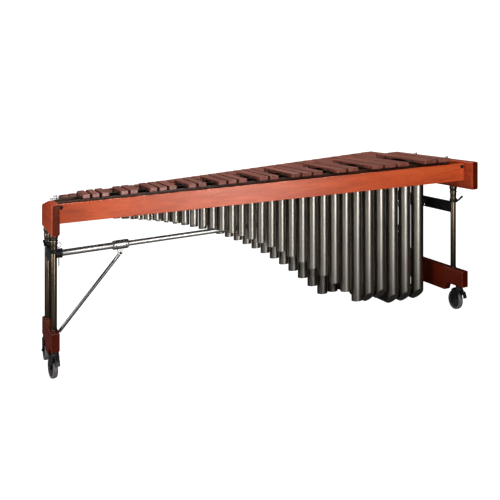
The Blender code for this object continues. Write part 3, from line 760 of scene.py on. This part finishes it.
def outer_post(name, x, y):
    """The fixed post: its tube, the shoe on the beam, and the clamp's ring, sleeve and boss."""
    shells = Shells()
    tube = [(POST_BORE, BEAM_TOP + GAP), (POST_RADIUS, BEAM_TOP + GAP)]
    tube += [(POST_RADIUS, 0.7015), (POST_BORE, 0.7015)]
    shells.lathe(softened(tube, 0.0006), (x, y, 0), sides=48, loop=True)
    shoe = [(0.0176, BEAM_TOP + GAP), (0.0192, BEAM_TOP + GAP)]
    shoe += [(0.0192, BEAM_TOP + 0.005), (0.0176, BEAM_TOP + 0.007)]
    shells.lathe(softened(shoe, 0.0005), (x, y, 0), sides=40, loop=True)
    ring = [(0.0177, 0.700), (0.0229, 0.700), (0.0229, 0.7235), (0.0177, 0.7235)]
    shells.lathe(softened(ring, 0.0014), (x, y, 0), sides=48, look=1, loop=True)
    sleeve = [(POST_BORE, 0.7020), (0.0203, 0.7020), (0.0203, 0.7225), (0.0195, 0.7240), (0.0195, 0.7425)]
    sleeve += [(0.0204, 0.7435), (0.0204, 0.7612), (0.0190, 0.7635), (POST_BORE, 0.7635)]
    shells.lathe(softened(sleeve, 0.0008), (x, y, 0), sides=48, loop=True)
    boss = arc_box(y - 0.036, y - 0.0185, CLAMP_Z - 0.011, CLAMP_Z + 0.011, 0.004)
    shells.prism(boss, 0, x - 0.008, x + 0.008, 1)
    looks = [POST_METAL, BLACK_FITTINGS]
    shells.piece(f"post_tube_{name}", looks, "stand", [f"outer_post_{name}"])


def clamp_lever(name, side, x, y):
    """The hub and the curved grip that lock the inner post."""
    shells = Shells()
    spot = Vector((x + side * (0.008 + GAP), y - 0.0275, CLAMP_Z))
    hub = [(0.001, 0), (0.006, 0), (0.006, 0.012), (0.001, 0.0135)]
    shells.lathe(softened(hub, 0.0012), spot, (side, 0, 0), 24)
    path, radii = [], []
    for i in range(9):
        t = i / 8
        path.append(spot + Vector((side * (0.007 + 0.015 * t), -0.002 - 0.028 * t, 0.030 * t**1.15)))
        radii.append(0.0054 + 0.0020 * t if i < 8 else 0.0048)
    shells.sweep(path, radii, 14)
    node = f"clamp_lever_{name}"
    shells.piece(f"clamp_grip_{name}", [BLACK_FITTINGS], node, [node])


def posts():
    for name, (side, y) in POSTS.items():
        x = side * POST_X
        inner_post(name, x, y)
        outer_post(name, x, y)
        clamp_lever(name, side, x, y)


def stretcher_tubes():
    """The two tubes that slide in each other between the ends of the stand."""
    tube_end = CROSS_BAR_FACE - 0.012
    left_sleeve = SLEEVES["left"][1]
    centre = (0, STRETCHER_Y, STRETCHER_Z)
    wide = Shells()
    wide_end = left_sleeve + SLEEVE_HALF - 0.003
    bore = STRETCHER_INNER_RADIUS + 0.0006
    pipe = [(bore, -tube_end), (STRETCHER_RADIUS, -tube_end), (STRETCHER_RADIUS, wide_end), (bore, wide_end)]
    wide.lathe(softened(pipe, 0.0008), centre, (1, 0, 0), 48, loop=True)
    wide.piece("stretcher_tube_wide", [STEEL], "stand", ["stretcher_outer_tube"])
    slim = Shells()
    start = left_sleeve - SLEEVE_HALF + 0.01
    pipe = [(0.0133, start), (STRETCHER_INNER_RADIUS, start)]
    pipe += [(STRETCHER_INNER_RADIUS, tube_end), (0.0133, tube_end)]
    slim.lathe(softened(pipe, 0.0008), centre, (1, 0, 0), 48, loop=True)
    slim.piece("stretcher_tube_slim", [STEEL], "stand", ["stretcher_inner_tube"])


def tube_socket(name, side, bore):
    """The plate and collar that hold one end of the stretcher on its cross bar."""
    shells = Shells()
    face = side * (CROSS_BAR_FACE - GAP)
    low_x, high_x = sorted((face, face - side * SOCKET_PLATE))
    low_y, high_y = STRETCHER_Y - 0.036, STRETCHER_Y + 0.036
    plate = arc_box(low_y, high_y, STRETCHER_Z - 0.034, STRETCHER_Z + 0.030, 0.008)
    shells.prism(plate, 0, low_x, high_x)
    inward = (-side, 0, 0)
    socket = [(bore + GAP, 0.005), (bore + 0.0085, 0.005), (bore + 0.0070, 0.012)]
    socket += [(bore + 0.0070, SOCKET_DEPTH - 0.014), (bore + 0.0086, SOCKET_DEPTH - 0.013)]
    socket += [(bore + 0.0086, SOCKET_DEPTH), (bore + GAP, SOCKET_DEPTH)]
    shells.lathe(softened(socket, 0.0010), (face, STRETCHER_Y, STRETCHER_Z), inward, 40, loop=True)
    for dy in (-0.028, 0.028):
        spot = (face - side * SOCKET_PLATE, STRETCHER_Y + dy, STRETCHER_Z - 0.022)
        bolt_head(shells, spot, inward, 0.0048, 1)
    looks = [BLACK_FITTINGS, BRIGHT_STEEL]
    node = f"stretcher_bracket_{name}"
    shells.piece(f"tube_socket_{name}", looks, "stand", [node])


def pull_pin(name, side):
    """The pin through a socket, with the ring that it is pulled by."""
    shells = Shells()
    x = side * (CROSS_BAR_FACE - 0.034)
    shank = [(0.0005, -0.078), (0.0020, -0.076), (0.0028, -0.066), (0.003, 0.036), (0.0005, 0.0365)]
    shells.lathe(softened(shank, 0.0006), (x, STRETCHER_Y, STRETCHER_Z), sides=20)
    ring = [(u, STRETCHER_Y, v) for u, v in arc((x, STRETCHER_Z + 0.0485), 0.0130, 0, 360, 28)[:-1]]
    shells.sweep(ring, 0.0019, 10, loop=True)
    node = f"lock_pin_{name}"
    shells.piece(f"pull_pin_{name}", [BRACE_STEEL], node, [node])


def sleeve_clevis(name, middle, bore, pivot):
    """The sleeve on the stretcher, with two ears and the bolt that a brace hangs from."""
    shells = Shells()
    half = [(0.0272, SLEEVE_HALF - 0.010), (0.0262, SLEEVE_HALF - 0.004)]
    half += [(0.0245, SLEEVE_HALF), (bore + GAP, SLEEVE_HALF)]
    collar = [(radius, -along) for radius, along in reversed(half)] + [(0.0275, 0.0)] + half
    shells.lathe(softened(collar, 0.0012), (middle, STRETCHER_Y, STRETCHER_Z), (1, 0, 0), 48, loop=True)
    for ear in (-1, 1):
        near, far = sorted((STRETCHER_Y + ear * 0.0062, STRETCHER_Y + ear * 0.0102))
        outline = [(middle + 0.019, STRETCHER_Z - 0.022)]
        outline += arc((pivot.x, pivot.z), 0.0135, -10, -170, 10)
        outline += [(middle - 0.019, STRETCHER_Z - 0.022)]
        shells.prism(outline, 1, near, far)
        bolt_head(shells, (pivot.x, STRETCHER_Y + ear * 0.0102, pivot.z), (0, ear, 0), 0.0062, 1)
    bolt = [(0.001, -0.012), (0.0044, -0.012), (0.0044, 0.012), (0.001, 0.012)]
    shells.lathe(bolt, (pivot.x, STRETCHER_Y, pivot.z), (0, 1, 0), 20)
    for dx in (-0.030, 0.030):
        bolt_head(shells, (middle + dx, STRETCHER_Y - 0.0268, STRETCHER_Z), (0, -1, 0), 0.0036, 1)
    looks = [STEEL, BLACK_FITTINGS]
    shells.piece(f"sleeve_clevis_{name}", looks, "stand", [f"brace_sleeve_{name}"])


def brace_rod(name, side, pivot):
    """A brace: flat where it is pinned, then square, then round down to its foot on the beam."""
    shells = Shells()
    foot = Vector((side * (INNER_X - 0.016), STRETCHER_Y, BRACE_FOOT_Z))
    along = (foot - pivot).normalized()
    square = Vector((along.z, 0, -along.x))
    # distance from the pivot, half height, half thickness, and how round the section is
    sections = [
        (-0.011, 0.0050, 0.0050, 0.55),
        (-0.007, 0.0085, 0.0054, 0.55),
        (0.0, 0.0098, 0.0054, 0.55),
        (0.030, 0.0105, 0.0054, 0.55),
        (0.045, 0.0105, 0.0080, 0.85),
        (0.060, BRACE_RADIUS, BRACE_RADIUS, 1.0),
        ((foot - pivot).length - 0.012, BRACE_RADIUS, BRACE_RADIUS, 1.0),
    ]
    rings = []
    for distance, half_z, half_y, power in sections:
        centre = pivot + along * distance
        ring = []
        for i in range(24):
            angle = 2 * math.pi * (i + 0.5) / 24
            c, s = math.cos(angle), math.sin(angle)
            c, s = math.copysign(abs(c) ** power, c), math.copysign(abs(s) ** power, s)
            ring.append(centre + square * (half_z * c) + Vector((0, half_y * s, 0)))
        rings.append(ring)
    shells.loft(rings)
    low_x, high_x = sorted((side * (INNER_X - GAP), side * (INNER_X - 0.0045)))
    low_y, high_y = STRETCHER_Y - 0.014, STRETCHER_Y + 0.014
    foot_plate = arc_box(low_y, high_y, BRACE_FOOT_Z - 0.028, BRACE_FOOT_Z + 0.022, 0.005)
    shells.prism(foot_plate, 0, low_x, high_x)
    root = side * (INNER_X - 0.004)
    for dy in (-0.0125, 0.0075):
        outline = [(root, BRACE_FOOT_Z - 0.018), (root, BRACE_FOOT_Z + 0.018)]
        outline += [(side * (INNER_X - 0.0205), BRACE_FOOT_Z + 0.010)]
        outline += [(side * (INNER_X - 0.0215), BRACE_FOOT_Z - 0.008)]
        shells.prism(outline, 1, STRETCHER_Y + dy, STRETCHER_Y + dy + 0.005)
    spot = (side * (INNER_X - 0.0125), STRETCHER_Y - 0.0125, BRACE_FOOT_Z)
    bolt_head(shells, spot, (0, -1, 0), 0.0052, 1)
    looks = [BRACE_STEEL, BLACK_FITTINGS]
    shells.piece(f"brace_rod_{name}", looks, "stand", [f"brace_{name}"])


def stretcher():
    stretcher_tubes()
    for name, (side, middle, bore) in SLEEVES.items():
        pivot = Vector((middle, STRETCHER_Y, STRETCHER_Z - PIVOT_DROP))
        tube_socket(name, side, bore)
        pull_pin(name, side)
        sleeve_clevis(name, middle, bore, pivot)
        brace_rod(name, side, pivot)


# ---------------------------------------------------------------- casters
def caster_fork(name, body, stem):
    """The swivel head, the bridge over the wheel and its two cheeks."""
    shells = Shells()
    raceway = [(0.002, 0.1350), (0.0232, 0.1350), (0.0240, 0.1385), (0.0240, 0.1440), (0.0215, 0.1462)]
    raceway += [(0.0215, 0.1500), (0.0225, 0.1515), (0.0225, CASTER_TOP), (0.002, CASTER_TOP)]
    shells.lathe(softened(raceway, 0.0012), (0, 0, 0), sides=40)
    top = [(-0.0205, -0.022)] + arc((0.0, CASTER_TRAIL), 0.0205, 180, 0, 12) + [(0.0205, -0.022)]
    shells.loft([[(u, v, z) for u, v in top] for z in (0.1305, 0.1358)])
    for cheek in (-1, 1):
        outer, inner = cheek * 0.0205, cheek * 0.0170
        outline = [(-0.021, 0.1320), (-0.021, 0.1130)]
        outline += [(CASTER_TRAIL - 0.0150, WHEEL_RADIUS - 0.002)]
        outline += arc((CASTER_TRAIL, WHEEL_RADIUS), 0.0135, 200, 340, 10)
        outline += [(CASTER_TRAIL + 0.0170, 0.106), (CASTER_TRAIL + 0.0195, 0.1320)]
        shells.prism(outline, 0, min(inner, outer), max(inner, outer))
    shells.prism(arc_box(-0.034, -0.017, 0.119, 0.1345, 0.003), 0, -0.010, 0.010)
    node = f"caster_fork_{name}"
    shells.piece(f"fork_{name}", [CASTER_BLACK], body, [node], bevel=0.0008, place=stem)


def caster_axle(name, body, stem):
    """The axle, with a nut at one end and a round head at the other."""
    shells = Shells()
    for end in (-1, 1):
        nut = [(0.0010, 0), (0.0074, 0), (0.0074, 0.0030), (0.0060, 0.0044), (0.0010, 0.0047)]
        sides = 6 if end > 0 else 24
        shells.lathe(nut, (0.0208 * end, CASTER_TRAIL, WHEEL_RADIUS), (end, 0, 0), sides)
    rod = [(0.001, -0.0212), (0.0040, -0.0212), (0.0040, 0.0212), (0.001, 0.0212)]
    shells.lathe(rod, (0, CASTER_TRAIL, WHEEL_RADIUS), (1, 0, 0), 24)
    shells.piece(f"axle_{name}", [BRACE_STEEL], body, [f"caster_axle_{name}"], place=stem)


def caster_wheel(name, stem):
    """A rounded rubber tread on a dished disc."""
    shells = Shells()
    tread = [(0.0495, -TREAD_HALF + 0.0008)]
    for i in range(13):
        angle = math.pi * (0.08 + 0.84 * i / 12)
        tread.append((0.0595 + 0.003 * math.sin(angle), -math.cos(angle) * (TREAD_HALF - 0.0006)))
    tread.append((0.0495, TREAD_HALF - 0.0008))
    shells.lathe(tread, (0, 0, 0), (1, 0, 0), 72, loop=True)
    face = [(0.0496, TREAD_HALF - 0.0010), (0.0455, TREAD_HALF - 0.0016), (0.0430, TREAD_HALF - 0.0060)]
    face += [(0.0160, TREAD_HALF - 0.0050), (0.0140, TREAD_HALF), (0.0048, TREAD_HALF)]
    disc = [(radius, -along) for radius, along in reversed(face)] + face
    shells.lathe(softened(disc, 0.0010), (0, 0, 0), (1, 0, 0), 72, look=1, loop=True)
    spot = stem @ Matrix.Translation((0, CASTER_TRAIL, WHEEL_RADIUS))
    looks, node = [WHEEL_RUBBER, WHEEL_DISC], f"caster_wheel_{name}"
    shells.piece(f"wheel_{name}", looks, f"wheel_{name}", [node], place=spot)


def brake_pedal(name, stem):
    shells = Shells()
    outline = [(0.003, 0.0030), (-0.006, 0.0060), (-0.012, 0.0010), (-0.0175, -0.0065)]
    outline += [(-0.0225, -0.0200), (-0.0262, -0.0335), (-0.0225, -0.0355), (-0.0185, -0.0220)]
    outline += [(-0.0135, -0.0105), (-0.0085, -0.0055), (-0.002, -0.0040)]
    shells.prism(outline, 0, -0.0125, 0.0125)
    spot = stem @ Matrix.Translation(PEDAL_PIVOT)
    looks, body, node = [CASTER_BLACK], f"pedal_{name}", f"brake_pedal_{name}"
    shells.piece(f"pedal_plate_{name}", looks, body, [node], bevel=0.0009, place=spot)


def casters():
    for name, (side, y, heading) in CASTERS.items():
        turn = Matrix.Rotation(math.radians(heading - 90), 4, "Z")
        stem = Matrix.Translation((side * POST_X, y, 0)) @ turn
        body = f"caster_{name}"
        caster_fork(name, body, stem)
        caster_axle(name, body, stem)
        caster_wheel(name, stem)
        brake_pedal(name, stem)


# ---------------------------------------------------------------- studio
ROOM_GLOW = 0.012  # what the dark room gives the object; the backdrop itself is seen as white
BACKDROP = 1.0
FLOOR_BOUNCE = (0.50, 0.49, 0.48)  # the most that the pale floor throws back onto the object, in its painted pool of light to the front left
FLOOR_SEEN = 0.89  # the floor's own brightness in the picture, under its soft shadows


def studio():
    scene = bpy.context.scene
    scene.view_settings.view_transform = "Standard"
    scene.view_settings.look = "Medium High Contrast"
    world = bpy.data.worlds.new("studio")
    scene.world = world
    world.use_nodes = True
    background = world.node_tree.nodes["Background"]
    background.inputs["Color"].default_value = (1.0, 1.0, 1.0, 1.0)
    seen = world.node_tree.nodes.new("ShaderNodeLightPath")
    glow = world.node_tree.nodes.new("ShaderNodeMapRange")
    glow.inputs[3].default_value = ROOM_GLOW
    glow.inputs[4].default_value = BACKDROP
    world.node_tree.links.new(seen.outputs["Is Camera Ray"], glow.inputs[0])
    world.node_tree.links.new(glow.outputs[0], background.inputs["Strength"])

    floor_mesh = bpy.data.meshes.new("floor")
    floor_mesh.from_pydata([(-40, -40, 0), (40, -40, 0), (40, 40, 0), (-40, 40, 0)], [], [(0, 1, 2, 3)])
    floor = bpy.data.objects.new("floor", floor_mesh)
    bpy.context.collection.objects.link(floor)
    pale = Look("pale_floor", Roughness=0.9, Specular_IOR_Level=0.1)
    tone = pale.noise(pale.coordinates((0.5, 0.5, 0.5)), detail=3.0)
    paper = pale.ramp(tone, [(0.3, (0.115, 0.115, 0.115)), (0.7, (0.125, 0.125, 0.125))])
    seen = pale.add("ShaderNodeLightPath").outputs["Is Camera Ray"]
    spot = pale.coordinates((1.0, 1.0, 1.0))
    away = pale.add("ShaderNodeVectorMath", {"operation": "LENGTH"}, i0=spot).outputs["Value"]
    level = pale.spread(away, FLOOR_SEEN, BACKDROP, 2.0, 5.0)
    shine = pale.maths("MULTIPLY", level, seen)
    pale.shader.inputs["Emission Color"].default_value = (1.0, 1.0, 1.0, 1.0)
    pale.links.new(shine, pale.shader.inputs["Emission Strength"])
    # What the floor throws back onto the object is painted: a pool of light in front and to the left, painted
    # shade to the right and in a band behind the instrument.
    parts = pale.add("ShaderNodeSeparateXYZ", i0=spot)
    painted_light_left = pale.spread(parts.outputs[0], 1.0, 0.08, 0.4, 1.8)
    distance = pale.maths("ABSOLUTE", pale.maths("SUBTRACT", parts.outputs[1], 0.75))
    painted_shade_behind = pale.spread(distance, 0.08, 1.0, 0.5, 1.5)
    share = pale.maths("MULTIPLY", painted_light_left, painted_shade_behind)
    painted_bounce = pale.mix(share, (0.0, 0.0, 0.0, 1.0), (*FLOOR_BOUNCE, 1.0))
    floor_mesh.materials.append(pale.finish(pale.mix(seen, painted_bounce, paper)))

    # place, aim, width, height and power
    lights = {
        "key": ((-0.25, -4.9, 1.55), (0.0, -0.2, 0.75), 0.9, 2.0, 132.0),
        "rail": ((0.45, -4.9, 0.27), (0.0, -0.4, 0.9), 1.2, 0.25, 17.0),
        "side": ((-3.6, -0.8, 1.5), (-0.6, 0.0, 0.7), 1.2, 1.4, 68.0),
        "top": ((0.3, 1.3, 3.6), (0.0, 0.0, 0.9), 3.2, 0.9, 125.0),
    }
    for name, (place, aim, width, height, power) in lights.items():
        data = bpy.data.lights.new(name, "AREA")
        data.shape = "RECTANGLE"
        data.size, data.size_y = width, height
        data.energy = power
        lamp = bpy.data.objects.new(name, data)
        lamp.location = place
        lamp.rotation_euler = (Vector(aim) - Vector(place)).to_track_quat("-Z", "Y").to_euler()
        bpy.context.collection.objects.link(lamp)


CAMERA_PLACE = (-1.9158, -4.6667, 1.6404)
CAMERA_YAW = 0.3864
CAMERA_DROP = 0.2261  # how far the picture's middle lies below eye level, as a share of the distance
CAMERA_SKEW = 0.0658  # how much lower the picture's left side stands than its right, uprights kept upright
CAMERA_LENS = 57.8


def camera():
    """A level view with upright lines: the film stays vertical while the axis drops, as with a shift lens."""
    scene = bpy.context.scene
    right = Vector((math.cos(CAMERA_YAW), -math.sin(CAMERA_YAW), 0))
    ahead = Vector((math.sin(CAMERA_YAW), math.cos(CAMERA_YAW), 0))
    up = Vector((0, 0, 1))
    rows = Matrix((right, up + CAMERA_SKEW * right + CAMERA_DROP * ahead, -ahead))
    axes = rows.inverted()
    columns = [Vector(column).normalized() for column in axes.col]
    place = Matrix.Translation(CAMERA_PLACE)
    for i, column in enumerate(columns):
        for k in range(3):
            place[k][i] = column[k]
    holder = bpy.data.objects.new("camera_stand", None)
    scene.collection.objects.link(holder)
    data = bpy.data.cameras.new("camera")
    data.lens = CAMERA_LENS
    data.sensor_width = 36.0
    data.clip_start = 0.1
    data.clip_end = 200.0
    eye = bpy.data.objects.new("camera", data)
    scene.collection.objects.link(eye)
    eye.parent = holder
    eye.matrix_parent_inverse = place
    scene.camera = eye


bars()
string_lines()
frame_wood()
rail_bolts()
resonator_banks()
posts()
stretcher()
casters()
studio()
camera()
